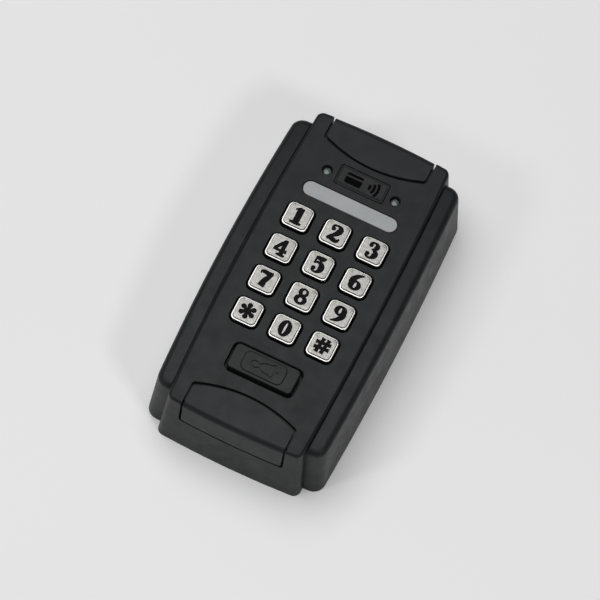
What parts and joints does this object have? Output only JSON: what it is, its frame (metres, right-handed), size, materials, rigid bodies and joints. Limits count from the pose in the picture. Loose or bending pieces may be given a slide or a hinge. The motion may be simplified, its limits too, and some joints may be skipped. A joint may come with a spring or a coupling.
{
  "type": "keypad proximity card reader",
  "caption": "Wall reader for access control with a raised centre column, a light bar, a metal telephone-style keypad, a bell button and snap-off trim caps over its screws.",
  "frame": {"origin": "on the wall plane, under the middle of the case", "axes": "+X across the keypad to the right, +Y up the keypad towards the light bar, +Z out of the keypad face"},
  "size_m": [0.076, 0.1378, 0.0356],
  "materials": {
    "case_plastic": "fine moulded grain, matte black",
    "button_plastic": "matte black, slightly smoother than the case",
    "key_metal": "satin cast metal with a fine pebble on the top and a polished bevel",
    "light_guide": "milky translucent, satin",
    "lens": "clear grey, glossy",
    "silicone": "matte silicone",
    "rubber": "matte black rubber",
    "board": "green solder mask over glass-fibre laminate",
    "copper_wire": "enamelled copper winding",
    "chip_black": "black moulded epoxy",
    "can_metal": "bright metal can",
    "capacitor_sleeve": "dark sleeve",
    "connector_plastic": "natural nylon",
    "led_body": "clear epoxy",
    "steel": "zinc-plated steel"
  },
  "bodies": {
    "case": {"front_housing": "case_plastic", "back_plate": "case_plastic", "name_plate": "case_plastic", "light_bar": "light_guide", "status_lens": "lens", "sensor_lens": "lens", "keypad_mat": "silicone", "back_seal": "rubber", "cable_grommet": "rubber", "circuit_board": "board", "antenna_coil": "copper_wire", "processor_chip": "chip_black", "sounder": "chip_black", "tamper_switch": "chip_black", "clock_crystal": "can_metal", "power_capacitor": "capacitor_sleeve", "wire_connector": "connector_plastic", "bar_led_left": "led_body", "bar_led_right": "led_body", "status_led": "led_body", "light_sensor": "led_body", "fixing_screw_top": "steel", "fixing_screw_bottom": "steel", "board_screw_1": "steel", "board_screw_2": "steel", "board_screw_3": "steel", "board_screw_4": "steel", "tamper_spring": "steel"},
    "top_cap": {"top_cap": "case_plastic"},
    "bottom_cap": {"bottom_cap": "case_plastic"},
    "bell_button": {"bell_button": "button_plastic"},
    "key_1": {"key_1": "key_metal"},
    "key_2": {"key_2": "key_metal"},
    "key_3": {"key_3": "key_metal"},
    "key_4": {"key_4": "key_metal"},
    "key_5": {"key_5": "key_metal"},
    "key_6": {"key_6": "key_metal"},
    "key_7": {"key_7": "key_metal"},
    "key_8": {"key_8": "key_metal"},
    "key_9": {"key_9": "key_metal"},
    "key_star": {"key_star": "key_metal"},
    "key_0": {"key_0": "key_metal"},
    "key_hash": {"key_hash": "key_metal"},
    "tamper_plunger": {"tamper_plunger": "connector_plastic"}
  },
  "joints": [
    {"name": "key_1_press", "type": "slide", "parent": "case", "child": "key_1", "axis": [0, 0, -1], "range_m": [0, 0.001], "stiffness_N_per_m": 600, "springref_m": -0.0008, "deforming": ["keypad_mat"]},
    {"name": "key_2_press", "type": "slide", "parent": "case", "child": "key_2", "axis": [0, 0, -1], "range_m": [0, 0.001], "stiffness_N_per_m": 600, "springref_m": -0.0008, "deforming": ["keypad_mat"]},
    {"name": "key_3_press", "type": "slide", "parent": "case", "child": "key_3", "axis": [0, 0, -1], "range_m": [0, 0.001], "stiffness_N_per_m": 600, "springref_m": -0.0008, "deforming": ["keypad_mat"]},
    {"name": "key_4_press", "type": "slide", "parent": "case", "child": "key_4", "axis": [0, 0, -1], "range_m": [0, 0.001], "stiffness_N_per_m": 600, "springref_m": -0.0008, "deforming": ["keypad_mat"]},
    {"name": "key_5_press", "type": "slide", "parent": "case", "child": "key_5", "axis": [0, 0, -1], "range_m": [0, 0.001], "stiffness_N_per_m": 600, "springref_m": -0.0008, "deforming": ["keypad_mat"]},
    {"name": "key_6_press", "type": "slide", "parent": "case", "child": "key_6", "axis": [0, 0, -1], "range_m": [0, 0.001], "stiffness_N_per_m": 600, "springref_m": -0.0008, "deforming": ["keypad_mat"]},
    {"name": "key_7_press", "type": "slide", "parent": "case", "child": "key_7", "axis": [0, 0, -1], "range_m": [0, 0.001], "stiffness_N_per_m": 600, "springref_m": -0.0008, "deforming": ["keypad_mat"]},
    {"name": "key_8_press", "type": "slide", "parent": "case", "child": "key_8", "axis": [0, 0, -1], "range_m": [0, 0.001], "stiffness_N_per_m": 600, "springref_m": -0.0008, "deforming": ["keypad_mat"]},
    {"name": "key_9_press", "type": "slide", "parent": "case", "child": "key_9", "axis": [0, 0, -1], "range_m": [0, 0.001], "stiffness_N_per_m": 600, "springref_m": -0.0008, "deforming": ["keypad_mat"]},
    {"name": "key_star_press", "type": "slide", "parent": "case", "child": "key_star", "axis": [0, 0, -1], "range_m": [0, 0.001], "stiffness_N_per_m": 600, "springref_m": -0.0008, "deforming": ["keypad_mat"]},
    {"name": "key_0_press", "type": "slide", "parent": "case", "child": "key_0", "axis": [0, 0, -1], "range_m": [0, 0.001], "stiffness_N_per_m": 600, "springref_m": -0.0008, "deforming": ["keypad_mat"]},
    {"name": "key_hash_press", "type": "slide", "parent": "case", "child": "key_hash", "axis": [0, 0, -1], "range_m": [0, 0.001], "stiffness_N_per_m": 600, "springref_m": -0.0008, "deforming": ["keypad_mat"]},
    {"name": "bell_button_press", "type": "slide", "parent": "case", "child": "bell_button", "axis": [0, 0, -1], "range_m": [0, 0.001], "stiffness_N_per_m": 600, "springref_m": -0.0008, "deforming": ["keypad_mat"]},
    {"name": "tamper_plunger_extend", "type": "slide", "parent": "case", "child": "tamper_plunger", "axis": [0, 0, -1], "range_m": [0, 0.0012], "stiffness_N_per_m": 60, "springref_m": 0.004, "deforming": ["tamper_spring"]},
    {"name": "top_cap_lift", "type": "slide", "parent": "case", "child": "top_cap", "axis": [0, 0, 1], "range_m": [0, 0.015]},
    {"name": "bottom_cap_lift", "type": "slide", "parent": "case", "child": "bottom_cap", "axis": [0, 0, 1], "range_m": [0, 0.015]}
  ]
}
